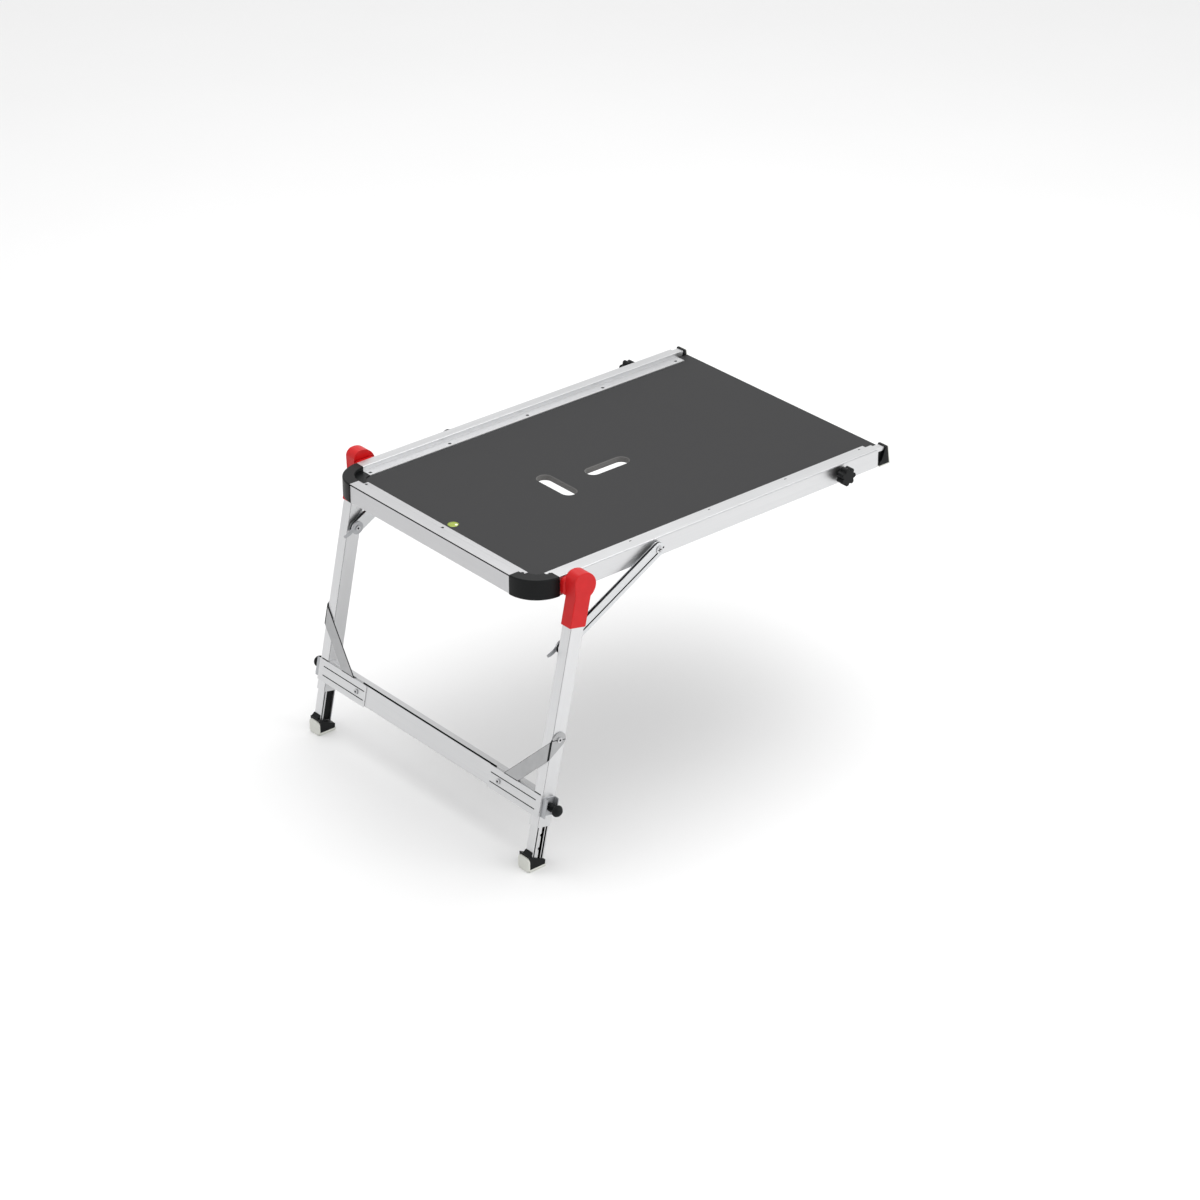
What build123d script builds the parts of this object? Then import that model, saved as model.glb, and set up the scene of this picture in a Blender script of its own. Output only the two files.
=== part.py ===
from build123d import *

import os
from math import cos, radians, sin

# Folding work platform: a dark deck board in an aluminium frame, carried at the
# front by a hinged pair of telescopic legs and at the rear by two sliding feet.
# Frame: +X rearwards, +Y to the left, +Z up. Z = 0 is the floor under the front
# feet and X = Y = 0 is the middle of the bounding box. All lengths in mm.

os.makedirs("parts", exist_ok=True)

# Deck frame
front_x = -432.0
rail_end_x = 446.0
deck_end_x = 473.0
half_width = 307.0
rail_w = 22.0
rail_h = 40.0
rail_top = 578.3
rail_wall = 2.0
groove_drop = 1.8
ledge_w = 22.0
ledge_t = 2.0
lip_w = 14.0
deck_top = 566.3
deck_t = 12.0
cap_size = 65.0
cap_proud = 1.5
slot_length = 104.0
slot_width = 32.0
slot_centre_x = (-117.0, 11.0)
level_d = 22.0
level_x = front_x + 61.0

# Front legs, measured from the hinge: s runs down the leg, t runs forwards
hinge_x = -341.0
hinge_z = 557.8
leg_lean = 12.0
leg_mid_y = 333.5
tube_w = 24.0
tube_d = 34.0
tube_wall = 1.8
tube_start = 22.0
tube_end = 480.0
socket_end = 75.0
inner_w = 19.6
inner_d = 29.6
inner_start = 250.0
inner_end = 548.0

# Crossbar, end plates and gussets
bar_top = 414.0
bar_bottom = 458.0
plate_t = 1.4
plate_inner_y = 193.0
gusset_w = 39.0
gusset_t = 2.0
ear_s = 300.0

# Struts
strut_top_x = -135.0
strut_top_z = 559.8
lock_s = 126.0
strut_w = 27.0
strut_inner_y = 311.6
strut_t = 7.8
strut_wall = 1.4

# Rear feet and clamp knobs
rear_sole_z = 537.4
clamp_x = 344.0
extension_start = 104.0

# Derived
rail_bottom = rail_top - rail_h
inner_face = half_width - rail_w
down = Vector(-sin(radians(leg_lean)), 0, -cos(radians(leg_lean)))
forward = Vector(-cos(radians(leg_lean)), 0, sin(radians(leg_lean)))
tube_outer_y = leg_mid_y + tube_w / 2
tube_inner_y = leg_mid_y - tube_w / 2


def save(piece, name):
    """Name one finished piece and write it to its own STEP file."""
    piece.label = name
    export_step(piece, f"parts/{name}.step")


def save_pair(piece, name):
    """Write a right-hand piece and its left-hand twin across the centre plane."""
    with BuildPart() as twin:
        mirror(piece, about=Plane.XZ)
    save(piece, f"{name}_right")
    save(twin.part, f"{name}_left")


def leg_point(s, y, t):
    """World position of a point given in leg coordinates."""
    return Vector(hinge_x, y, hinge_z) + down * s + forward * t


def leg_side(y):
    """Plane parallel to the leg's side: local x = s, local y = t, normal +Y."""
    return Plane(origin=(hinge_x, y, hinge_z), x_dir=down, z_dir=(0, 1, 0))


def leg_section(s, y):
    """Plane across the leg: local x = +Y, local y = rearwards, normal down the leg."""
    return Plane(origin=leg_point(s, y, 0), x_dir=(0, 1, 0), z_dir=down)


def leg_front(t):
    """Plane on the leg's front: local x = +Y, local y = s, normal forwards."""
    return Plane(origin=leg_point(0, 0, t), x_dir=(0, 1, 0), z_dir=forward)


def across(y):
    """Vertical plane at the given Y: local x = X, local y = Z, normal -Y."""
    return Plane.XZ.offset(-y)


# ---------------------------------------------------------------- side rails
# Extruded box section with a ledge on top of the deck, a lip underneath it and a
# shadow groove along the top of its outer face.
ledge_top = deck_top + ledge_t
screw_y = inner_face - 13.0
side_screw_x = (front_x + 72.0, front_x + 268.0, front_x + 466.0, front_x + 664.0, front_x + 862.0)
side_screws = [(x, -screw_y, ledge_top) for x in side_screw_x]

with BuildPart() as side_rail:
    with BuildSketch(Plane.YZ.offset(front_x + cap_size)):
        with Locations((-half_width + rail_w / 2, rail_top - rail_h / 2)):
            RectangleRounded(rail_w, rail_h, 1.0)
            Rectangle(rail_w - 2 * rail_wall, rail_h - 2 * rail_wall, mode=Mode.SUBTRACT)
        with Locations((-inner_face, deck_top)):
            Rectangle(ledge_w, ledge_t, align=(Align.MIN, Align.MIN))
        with Locations((-inner_face, deck_top - deck_t)):
            Rectangle(lip_w, ledge_t, align=(Align.MIN, Align.MAX))
        with Locations((-half_width, rail_top - groove_drop)):
            Rectangle(2.8, 2.0, mode=Mode.SUBTRACT)
    extrude(amount=rail_end_x - front_x - cap_size)
    with Locations([Location(spot) for spot in side_screws]):
        CounterSinkHole(1.9, 3.7, depth=ledge_t, counter_sink_angle=90)
    outer_wall = Plane.XZ.offset(half_width)
    with BuildSketch(outer_wall):
        with Locations((hinge_x, hinge_z)):
            Circle(5.05)
        with Locations((strut_top_x, strut_top_z)):
            Circle(4.05)
        with Locations((clamp_x, rail_top - rail_h / 2)):
            Circle(4.05)
    extrude(amount=-rail_wall - 0.1, mode=Mode.SUBTRACT)
save_pair(side_rail.part, "side_rail")

# ---------------------------------------------------------------- front rail
# Same section turned across the front.
front_screw_x = front_x + 35.0
front_screw_y = 237.0
front_screws = [(front_screw_x, y, ledge_top) for y in (-front_screw_y, 0.0, front_screw_y)]
front_half = half_width - cap_size

with BuildPart() as front_rail:
    with BuildSketch(across(front_half)):
        with Locations((front_x + rail_w / 2, rail_top - rail_h / 2)):
            RectangleRounded(rail_w, rail_h, 1.0)
            Rectangle(rail_w - 2 * rail_wall, rail_h - 2 * rail_wall, mode=Mode.SUBTRACT)
        with Locations((front_x + rail_w, deck_top)):
            Rectangle(ledge_w, ledge_t, align=(Align.MIN, Align.MIN))
        with Locations((front_x + rail_w, deck_top - deck_t)):
            Rectangle(lip_w, ledge_t, align=(Align.MIN, Align.MAX))
        with Locations((front_x, rail_top - groove_drop)):
            Rectangle(2.8, 2.0, mode=Mode.SUBTRACT)
    extrude(amount=2 * front_half)
    with Locations([Location(spot) for spot in front_screws]):
        CounterSinkHole(1.9, 3.7, depth=ledge_t, counter_sink_angle=90)
save(front_rail.part, "front_rail")

# ---------------------------------------------------------------- corner caps
# Moulded quarter ring joining the rails, slightly proud of them outside and
# underneath; plugs run into both box sections.
cap_centre = (front_x + cap_size, -front_half)
plug_w = rail_w - 2 * rail_wall - 0.4
plug_h = rail_h - 2 * rail_wall - 0.4

with BuildPart() as corner_cap:
    with BuildSketch(Plane.XY.offset(rail_bottom - cap_proud)):
        with Locations(cap_centre):
            Circle(cap_size + cap_proud)
            Circle(cap_size - rail_w, mode=Mode.SUBTRACT)
            Rectangle(2 * cap_size, 2 * cap_size, align=(Align.MAX, Align.MAX), mode=Mode.INTERSECT)
    extrude(amount=rail_h + cap_proud)
    rim = corner_cap.edges().filter_by(GeomType.CIRCLE).group_by(SortBy.RADIUS)[-1]
    chamfer(rim, 2.2)
    with BuildSketch(Plane.XY.offset(deck_top + 0.1)):
        with Locations(cap_centre):
            Circle(cap_size - rail_w + 0.5)
            Circle(cap_size - rail_w - ledge_w, mode=Mode.SUBTRACT)
            Rectangle(cap_size, cap_size, align=(Align.MAX, Align.MAX), mode=Mode.INTERSECT)
    extrude(amount=ledge_t - 0.3)
    with Locations((front_x + cap_size, -half_width + rail_w / 2, rail_top - rail_h / 2)):
        Box(20, plug_w, plug_h, align=(Align.MIN, Align.CENTER, Align.CENTER))
    with Locations((front_x + rail_w / 2, -front_half, rail_top - rail_h / 2)):
        Box(plug_w, 20, plug_h, align=(Align.CENTER, Align.MIN, Align.CENTER))
save_pair(corner_cap.part, "corner_cap")

# ---------------------------------------------------------------- deck board
# Film-faced board held between ledge and lip, with two hand slots and a round
# pocket for the level. The front corners follow the caps.
deck_half = inner_face - 0.3
deck_front = front_x + rail_w + 0.3

with BuildPart() as deck_board:
    with BuildSketch(Plane.XY.offset(deck_top)):
        with Locations(((deck_front + deck_end_x) / 2, 0)):
            Rectangle(deck_end_x - deck_front, 2 * deck_half)
    extrude(amount=-deck_t)
    corners = deck_board.edges().filter_by(Axis.Z).group_by(Axis.X)[0]
    fillet(corners, cap_size - rail_w - 0.3)
    rear_corners = deck_board.edges().filter_by(Axis.Z).group_by(Axis.X)[-1]
    fillet(rear_corners, 2.0)
    with BuildSketch(Plane.XY.offset(deck_top)):
        with Locations((slot_centre_x[0], 0)):
            SlotOverall(slot_length, slot_width, rotation=90)
        with Locations((slot_centre_x[1], 0)):
            SlotOverall(slot_length, slot_width)
    extrude(amount=-deck_t, mode=Mode.SUBTRACT)
    rims = deck_board.faces().sort_by(Axis.Z)[-1].inner_wires().edges()
    chamfer(rims, 1.2)
    with Locations((level_x, 0, deck_top)):
        Hole(level_d / 2, depth=8.0)
    pilot_spots = [(x, y * side, deck_top) for x, y, _ in side_screws for side in (1, -1)]
    pilot_spots += [(x, y, deck_top) for x, y, _ in front_screws]
    with Locations([Location(spot) for spot in pilot_spots]):
        Hole(1.8, depth=10.0)
save(deck_board.part, "deck_board")

with BuildPart() as bubble_level:
    with Locations((level_x, 0, deck_top - 7.8)):
        Cylinder(level_d / 2 - 0.1, 7.8, align=(Align.CENTER, Align.CENTER, Align.MIN))
    chamfer(bubble_level.edges().group_by(Axis.Z)[-1], 0.6)
save(bubble_level.part, "bubble_level")

# Countersunk screws through the ledges into the board.
with BuildPart() as ledge_screws:
    for x, y, _ in pilot_spots:
        with Locations((x, y, ledge_top - 0.1)):
            Cone(1.6, 3.4, 1.8, align=(Align.CENTER, Align.CENTER, Align.MAX))
            Cylinder(1.6, 10.0, align=(Align.CENTER, Align.CENTER, Align.MAX))
            Cylinder(1.0, 0.8, align=(Align.CENTER, Align.CENTER, Align.MAX), mode=Mode.SUBTRACT)
save(ledge_screws.part, "ledge_screws")

# ---------------------------------------------------------------- leg hinges
# A moulded base on the rail, a steel pin, and the socket that swings on it.
base_y = 319.7
socket_in = 320.0
socket_out = 347.0

with BuildPart() as hinge_base:
    with BuildSketch(Plane.XZ.offset(half_width)):
        with Locations((hinge_x, hinge_z)):
            RectangleRounded(50.0, 36.0, 11.0)
            Circle(5.05, mode=Mode.SUBTRACT)
    extrude(amount=base_y - half_width)
    outer_rim = hinge_base.faces().sort_by(Axis.Y)[0].outer_wire().edges()
    fillet(outer_rim, 4.0)
save_pair(hinge_base.part, "hinge_base")

with BuildPart() as hinge_pins:
    for side in (1, -1):
        with Locations(Location((hinge_x, side * 323.0, hinge_z), (90, 0, 0))):
            Cylinder(5.0, 40.0)
save(hinge_pins.part, "hinge_pins")

with BuildPart() as hinge_socket:
    socket_side = Plane(origin=(hinge_x, -socket_in, hinge_z), x_dir=(1, 0, 0), z_dir=(0, -1, 0))
    skirt_front = down * socket_end + forward * (tube_d / 2 + 1.75)
    skirt_rear = down * socket_end - forward * (tube_d / 2 + 1.75)
    with BuildSketch(socket_side):
        with BuildLine():
            Polyline((15.5, -17.1), (skirt_rear.X, skirt_rear.Z), (skirt_front.X, skirt_front.Z),
                     (-20.9, -8.0), (-21.8, 19.0))
            ThreePointArc((-21.8, 19.0), (-17.2, 30.6), (-6.0, 35.0))
            ThreePointArc((-6.0, 35.0), (18.5, 27.0), (28.6, 8.0))
            ThreePointArc((28.6, 8.0), (25.6, -6.5), (15.5, -17.1))
        make_face()
    extrude(amount=socket_out - socket_in)
    skin = hinge_socket.faces().sort_by(Axis.Y)[0].outer_wire().edges()
    fillet(skin, 1.4)
    with BuildSketch(leg_section(tube_start, -leg_mid_y)):
        Rectangle(tube_w, tube_d)
    extrude(amount=socket_end, mode=Mode.SUBTRACT)
    with BuildSketch(socket_side):
        Circle(5.06)
    extrude(amount=23.6, mode=Mode.SUBTRACT)
save_pair(hinge_socket.part, "hinge_socket")

# ---------------------------------------------------------------- outer legs
# Rectangular tube with a fine line down both sides, just behind the front corners.
index_s = 436.0
index_t = -2.0

with BuildPart() as outer_leg:
    with BuildSketch(leg_section(tube_start, -leg_mid_y)):
        RectangleRounded(tube_w, tube_d, 2.2)
        Rectangle(tube_w - 2 * tube_wall, tube_d - 2 * tube_wall, mode=Mode.SUBTRACT)
        with Locations((-tube_w / 2, -15.2), (tube_w / 2, -15.2)):
            Rectangle(1.2, 1.4, mode=Mode.SUBTRACT)
    extrude(amount=tube_end - tube_start)
    with BuildSketch(leg_side(-tube_outer_y)):
        with Locations((ear_s, 0.0)):
            Circle(3.05)
        with Locations((index_s, index_t)):
            Circle(3.2)
    extrude(amount=tube_wall + 0.1, mode=Mode.SUBTRACT)
save_pair(outer_leg.part, "outer_leg")

# ---------------------------------------------------------------- crossbar
# Hollow extrusion between the legs: plain front face, a thin groove along its
# top edge between the end plates and a rounded bead behind the groove.
bar_front = tube_d / 2
bar_rear = -3.0
bead_top = bar_top - 2.5
bar_half = tube_inner_y - 0.2

with BuildPart() as crossbar:
    with BuildSketch(leg_side(-bar_half)):
        with Locations(((bead_top + bar_bottom) / 2, (bar_front + bar_rear) / 2)):
            RectangleRounded(bar_bottom - bead_top, bar_front - bar_rear, 3.0)
        with Locations(((bead_top + 3.5 + bar_bottom - 2.0) / 2, (bar_front + bar_rear) / 2 - 0.6)):
            Rectangle(bar_bottom - bead_top - 5.5, bar_front - bar_rear - 4.8, mode=Mode.SUBTRACT)
        with Locations((bead_top, bar_front)):
            Rectangle(2 * (bar_top - bead_top), 4.6, mode=Mode.SUBTRACT)
    extrude(amount=2 * bar_half)
    with BuildSketch(leg_side(-plate_inner_y)):
        with Locations((bar_top, bar_front - 1.5)):
            Rectangle(6.0, 2.0)
    extrude(amount=2 * plate_inner_y, mode=Mode.SUBTRACT)
save(crossbar.part, "crossbar")

# ---------------------------------------------------------------- end plates
# Flat plates across the crossbar's ends and the fronts of the legs.
plate_bottom = bar_bottom + 1.5
plate_mid_s = (bar_top + plate_bottom) / 2
plate_groove_s = (427.5, 446.5)
plate_bolt_y = 222.0

with BuildPart() as end_plate:
    with BuildSketch(leg_front(bar_front)):
        with Locations((-(plate_inner_y + tube_outer_y) / 2, plate_mid_s)):
            RectangleRounded(tube_outer_y - plate_inner_y, plate_bottom - bar_top, 1.0)
        with Locations((-plate_bolt_y, 437.0)):
            Circle(3.3, mode=Mode.SUBTRACT)
    extrude(amount=plate_t)
    with BuildSketch(leg_front(bar_front + plate_t)):
        for s in plate_groove_s:
            with Locations((-(plate_inner_y + 5.0 + 331.0) / 2, s)):
                Rectangle(331.0 - plate_inner_y - 5.0, 2.2)
    extrude(amount=-0.7, mode=Mode.SUBTRACT)
save_pair(end_plate.part, "end_plate")

with BuildPart() as plate_bolts:
    for side in (1, -1):
        bolt_seat = Plane(origin=leg_point(437.0, side * plate_bolt_y, bar_front), z_dir=forward)
        with BuildSketch(bolt_seat):
            Circle(3.2)
        extrude(amount=plate_t + 0.2)
        with BuildSketch(bolt_seat.offset(plate_t + 0.2)):
            Circle(5.5)
            RegularPolygon(2.6, 6, mode=Mode.SUBTRACT)
        extrude(amount=2.4)
save(plate_bolts.part, "plate_bolts")

# ---------------------------------------------------------------- gussets
# A 45 degree flat bar from the end plate's top edge to the outer edge of the
# leg, bent round it into a round-ended ear that is bolted to the leg's side.
bend_y = tube_outer_y + 0.2 + gusset_t
gusset_front = bar_front + 0.1
bar_line = ear_s + 0.5 + bend_y

with BuildPart() as gusset:
    with BuildSketch(leg_front(gusset_front)):
        with BuildLine():
            Polyline((-(bar_line - bar_top), bar_top), (-(bar_line + gusset_w - bar_top), bar_top),
                     (-bend_y, bar_line + gusset_w - bend_y), (-bend_y, bar_line - bend_y),
                     close=True)
        make_face()
    extrude(amount=gusset_t)
    with BuildSketch(leg_side(-bend_y)):
        with Locations((ear_s, 0.0)):
            Circle(15.5)
        with Locations((bar_line - bend_y, gusset_front)):
            Rectangle(gusset_w, gusset_t, align=(Align.MIN, Align.MIN))
        make_hull()
        with Locations((ear_s, 0.0)):
            Circle(3.05, mode=Mode.SUBTRACT)
    extrude(amount=gusset_t)
    outer_bend = (
        gusset.edges()
        .filter_by(lambda e: abs((e @ 0.5).Y + bend_y) < 0.01 and abs((e % 0.5).dot(down)) > 0.99)
        .sort_by(lambda e: (e @ 0.5 - leg_point(0, 0, 0)).dot(forward))[-1]
    )
    fillet(outer_bend, 1.8)
save_pair(gusset.part, "gusset")

with BuildPart() as gusset_bolts:
    for side in (1, -1):
        inner_end_y = side * (tube_outer_y - tube_wall + 0.1)
        seat = Plane(origin=leg_point(ear_s, inner_end_y, 0), x_dir=down, z_dir=(0, side, 0))
        with BuildSketch(seat):
            Circle(3.0)
        extrude(amount=bend_y - tube_outer_y + tube_wall)
        with BuildSketch(seat.offset(bend_y - tube_outer_y + tube_wall)):
            Circle(5.5)
            RegularPolygon(2.6, 6, mode=Mode.SUBTRACT)
        extrude(amount=2.6)
save(gusset_bolts.part, "gusset_bolts")

# ---------------------------------------------------------------- leg locks
# Pressed-steel yoke on the leg's outer side with a spring pull knob in it.
yoke_out = 358.5
yoke_s = 437.0

with BuildPart() as lock_yoke:
    with BuildSketch(leg_section(yoke_s - 19.0, -tube_outer_y)):
        with Locations((-(yoke_out - tube_outer_y) / 2, 0.0)):
            Rectangle(yoke_out - tube_outer_y, 29.0)
            with Locations((-2.0, 0.0)):
                Rectangle(yoke_out - tube_outer_y, 25.0, mode=Mode.SUBTRACT)
    extrude(amount=38.0)
    with BuildSketch(leg_side(-tube_outer_y - 3.0)):
        with Locations((index_s, index_t)):
            Circle(6.6)
    extrude(amount=4.0, mode=Mode.SUBTRACT)
save_pair(lock_yoke.part, "lock_yoke")

knob_axis = Plane(origin=leg_point(index_s, 0, index_t), x_dir=down, z_dir=(0, -1, 0))
groove_floor = leg_mid_y + inner_w / 2 - 7.0

with BuildPart() as index_pin:
    with BuildSketch(knob_axis.offset(groove_floor + 1.2)):
        Circle(2.6)
    extrude(amount=16.0)
save_pair(index_pin.part, "index_pin")

with BuildPart() as pull_knob:
    with BuildSketch(knob_axis.offset(tube_outer_y + 2.4)):
        Circle(6.2)
        Circle(2.6, mode=Mode.SUBTRACT)
    extrude(amount=4.0)
    with BuildSketch(Plane(origin=leg_point(index_s, 0, index_t), x_dir=down, z_dir=-forward)):
        with BuildLine():
            Polyline((0.0, -351.5), (8.6, -351.5), (8.4, -358.0))
            ThreePointArc((8.4, -358.0), (7.5, -363.5), (9.0, -368.2))
            ThreePointArc((9.0, -368.2), (11.0, -369.4), (11.8, -372.0))
            ThreePointArc((11.8, -372.0), (8.4, -377.8), (2.0, -380.0))
            Polyline((2.0, -380.0), (0.0, -380.0), (0.0, -351.5))
        make_face()
    revolve(axis=Axis(leg_point(index_s, 0, index_t), (0, 1, 0)))
    with BuildSketch(knob_axis.offset(tube_outer_y)):
        Circle(2.6)
    extrude(amount=groove_floor + 17.2 - tube_outer_y, mode=Mode.SUBTRACT)
save_pair(pull_knob.part, "pull_knob")

# ---------------------------------------------------------------- inner legs
# Grooved extrusion sliding in the outer leg. Outer side: a narrow groove, a
# rib with index notches and a deep groove for the pin. Inner side: one wide
# channel. Local y of the section runs rearwards, so forward is negative.
index_pitch = 28.0
notch_s = [inner_end - 22.0 - index_pitch * i for i in range(9)]

with BuildPart() as inner_leg:
    with BuildSketch(leg_section(inner_start, -leg_mid_y)):
        RectangleRounded(inner_w, inner_d, 1.2)
        outside = -inner_w / 2
        for front_t, rear_t, depth in ((12.6, 9.8, 4.0), (1.2, -5.2, 7.0), (-7.0, -11.2, 7.0)):
            with Locations((outside, -(front_t + rear_t) / 2)):
                Rectangle(2 * depth, front_t - rear_t, mode=Mode.SUBTRACT)
        for front_t, rear_t, depth in ((12.6, 10.0, 4.0), (7.0, -12.0, 6.0)):
            with Locations((-outside, -(front_t + rear_t) / 2)):
                Rectangle(2 * depth, front_t - rear_t, mode=Mode.SUBTRACT)
    extrude(amount=inner_end - inner_start)
    with BuildSketch(leg_side(-leg_mid_y - inner_w / 2)):
        for s in notch_s:
            with Locations((s, 1.2)):
                Circle(2.8)
    extrude(amount=3.0, mode=Mode.SUBTRACT)
save_pair(inner_leg.part, "inner_leg")

# Black glide strips pressed into the narrow and wide channels.
with BuildPart() as glide_strips:
    with BuildSketch(leg_section(inner_start + 2.0, -leg_mid_y)):
        with Locations((-inner_w / 2 + 0.5, -11.2)):
            Rectangle(3.5, 2.8, align=(Align.MIN, Align.CENTER))
        with Locations((-inner_w / 2 + 3.0, 9.1)):
            Rectangle(4.0, 4.2, align=(Align.MIN, Align.CENTER))
        with Locations((inner_w / 2 - 3.5, 2.5)):
            Rectangle(2.5, 19.0, align=(Align.MAX, Align.CENTER))
        with Locations((inner_w / 2 - 0.5, -11.3)):
            Rectangle(3.5, 2.6, align=(Align.MAX, Align.CENTER))
    extrude(amount=inner_end - inner_start - 4.0)
save_pair(glide_strips.part, "glide_strips")

# ---------------------------------------------------------------- front feet
# Wedge-shaped moulded foot over the inner leg's end with a pale rubber sole
# that also wraps up the front. Positions are from the front rail's face.
foot_out = 346.0
foot_in = 314.0


def side_profile(points):
    """Closed outline in the XZ plane, X measured from the front rail's face."""
    return Polygon(*[(front_x + x, z) for x, z in points], align=None)


with BuildPart() as front_foot:
    with BuildSketch(across(-foot_in - 0.6)):
        side_profile([(-43.2, 6.0), (-6.4, 6.0), (-5.8, 15.3), (-43.2, 34.8)])
    extrude(amount=foot_out - foot_in - 1.2)
    with BuildSketch(across(-leg_mid_y + inner_w / 2)):
        side_profile([(-43.2, 30.0), (-30.0, 30.0), (-31.0, 41.0), (-36.0, 40.0), (-43.2, 34.0)])
    extrude(amount=inner_w)
    with BuildSketch(leg_section(inner_end - 60.0, -leg_mid_y)):
        Rectangle(inner_w + 0.04, inner_d + 0.04)
    extrude(amount=60.0 + 0.02, mode=Mode.SUBTRACT)
save_pair(front_foot.part, "front_foot")

with BuildPart() as foot_sole:
    with BuildSketch(Plane.YZ.offset(front_x - 43.2)):
        with Locations((-(foot_in + foot_out) / 2, 14.9)):
            RectangleRounded(foot_out - foot_in, 29.8, 8.0)
    extrude(amount=-3.8)
    front_rim = foot_sole.faces().sort_by(Axis.X)[0].edges()
    fillet(front_rim, 1.2)
    with BuildSketch(across(-foot_in)):
        side_profile([(-44.0, 0.0), (-6.0, 0.0), (-6.0, 6.0), (-44.0, 6.0)])
    extrude(amount=foot_out - foot_in)
    floor_edges = foot_sole.edges().filter_by(lambda e: e.length > 30 and (e @ 0.5).Z < 0.01)
    fillet(floor_edges.filter_by(Axis.X), 2.4)
save_pair(foot_sole.part, "foot_sole")

# ---------------------------------------------------------------- struts
# Channel open along its upper edge, its outer face stepped down to a deep groove.
# It pivots on the rail and its lower end meets the leg's inner side.
strut_top = Vector(strut_top_x, 0, strut_top_z)
lock_point = leg_point(lock_s, 0, 0)
strut_dir = (lock_point - strut_top).normalized()
strut_length = (lock_point - strut_top).length
strut_outer_y = strut_inner_y + strut_t


def strut_plane(y):
    """Local x runs down the strut, local y to its lower edge, normal is -Y."""
    return Plane(origin=(strut_top_x, y, strut_top_z), x_dir=strut_dir, z_dir=(0, -1, 0))


with BuildPart() as strut:
    with BuildSketch(strut_plane(-strut_inner_y)):
        with Locations((strut_length / 2, 0)):
            SlotCenterToCenter(strut_length, strut_w)
        Circle(4.05, mode=Mode.SUBTRACT)
        with Locations((strut_length, 0)):
            Circle(4.0, mode=Mode.SUBTRACT)
    extrude(amount=strut_t)
    with BuildSketch(strut_plane(-strut_inner_y - strut_wall)):
        with Locations((strut_length / 2, 1.0)):
            Rectangle(strut_length + 40.0, strut_w, align=(Align.CENTER, Align.MAX))
    extrude(amount=strut_t - 2 * strut_wall, mode=Mode.SUBTRACT)
    for local_y, width, depth in ((4.0, 2.8, 2.6), (-0.4, 6.2, 0.5)):
        with BuildSketch(strut_plane(-strut_outer_y)):
            with Locations((strut_length / 2, local_y)):
                Rectangle(strut_length + 40.0, width)
        extrude(amount=-depth, mode=Mode.SUBTRACT)
save_pair(strut.part, "strut")

with BuildPart() as strut_spacers:
    for side in (1, -1):
        with BuildSketch(Plane.XZ.offset(-side * half_width)):
            with Locations((strut_top_x, strut_top_z)):
                Circle(9.0)
                Circle(4.05, mode=Mode.SUBTRACT)
        extrude(amount=side * -(strut_inner_y - half_width - 0.2))
save(strut_spacers.part, "strut_spacers")

with BuildPart() as strut_bolts:
    for side in (1, -1):
        seat = Plane(origin=(strut_top_x, side * (half_width - 4.0), strut_top_z), z_dir=(0, side, 0))
        with BuildSketch(seat):
            Circle(4.0)
        extrude(amount=16.5)
        with BuildSketch(seat.offset(16.5)):
            Circle(7.5)
            Rectangle(9.0, 2.0, mode=Mode.SUBTRACT)
            Rectangle(2.0, 9.0, mode=Mode.SUBTRACT)
        extrude(amount=1.6)
save(strut_bolts.part, "strut_bolts")

with BuildPart() as lock_bolt:
    head = Plane(origin=lock_point + Vector(0, -307.8, 0), z_dir=(0, -1, 0))
    with BuildSketch(head):
        Circle(5.2)
    extrude(amount=1.8)
    with BuildSketch(head.offset(1.8)):
        Circle(3.95)
    extrude(amount=11.2)
    with BuildSketch(head):
        RegularPolygon(2.6, 6)
    extrude(amount=3.0, mode=Mode.SUBTRACT)
save_pair(lock_bolt.part, "lock_bolt")

# Finger latch: thin plate round the lock bolt with a curved, pointed finger.
with BuildPart() as finger_latch:
    with BuildSketch(leg_side(-309.8)):
        with Locations((lock_s, 0)):
            Circle(13.4)
        with BuildLine():
            ThreePointArc((lock_s - 12.0, 8.0), (lock_s + 4.5, 18.5), (lock_s + 14.0, 32.0))
            Line((lock_s + 14.0, 32.0), (lock_s + 18.8, 28.5))
            ThreePointArc((lock_s + 18.8, 28.5), (lock_s + 14.8, 18.0), (lock_s + 8.0, 10.0))
            Line((lock_s + 8.0, 10.0), (lock_s - 12.0, 8.0))
        make_face()
        with Locations((lock_s, 0)):
            Circle(4.02, mode=Mode.SUBTRACT)
    extrude(amount=-1.6)
save_pair(finger_latch.part, "finger_latch")

# ---------------------------------------------------------------- rear feet
# Lipped channel sliding in the side rail, a moulded foot plugged into its end
# and a pale rubber sole; a star knob clamps the channel.
channel_mid_y = half_width - rail_w / 2
channel_w = rail_w - 2 * rail_wall - 0.8
channel_h = rail_h - 2 * rail_wall - 0.8
rail_mid_z = rail_top - rail_h / 2

with BuildPart() as rear_extension:
    with BuildSketch(Plane.YZ.offset(extension_start)):
        with Locations((-channel_mid_y, rail_mid_z)):
            Rectangle(channel_w, channel_h)
            Rectangle(channel_w - 5.0, channel_h - 5.0, mode=Mode.SUBTRACT)
        with Locations((-channel_mid_y - channel_w / 2, rail_mid_z)):
            Rectangle(8.0, channel_h - 13.0, mode=Mode.SUBTRACT)
    extrude(amount=front_x + 897.0 - extension_start)
save_pair(rear_extension.part, "rear_extension")

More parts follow.
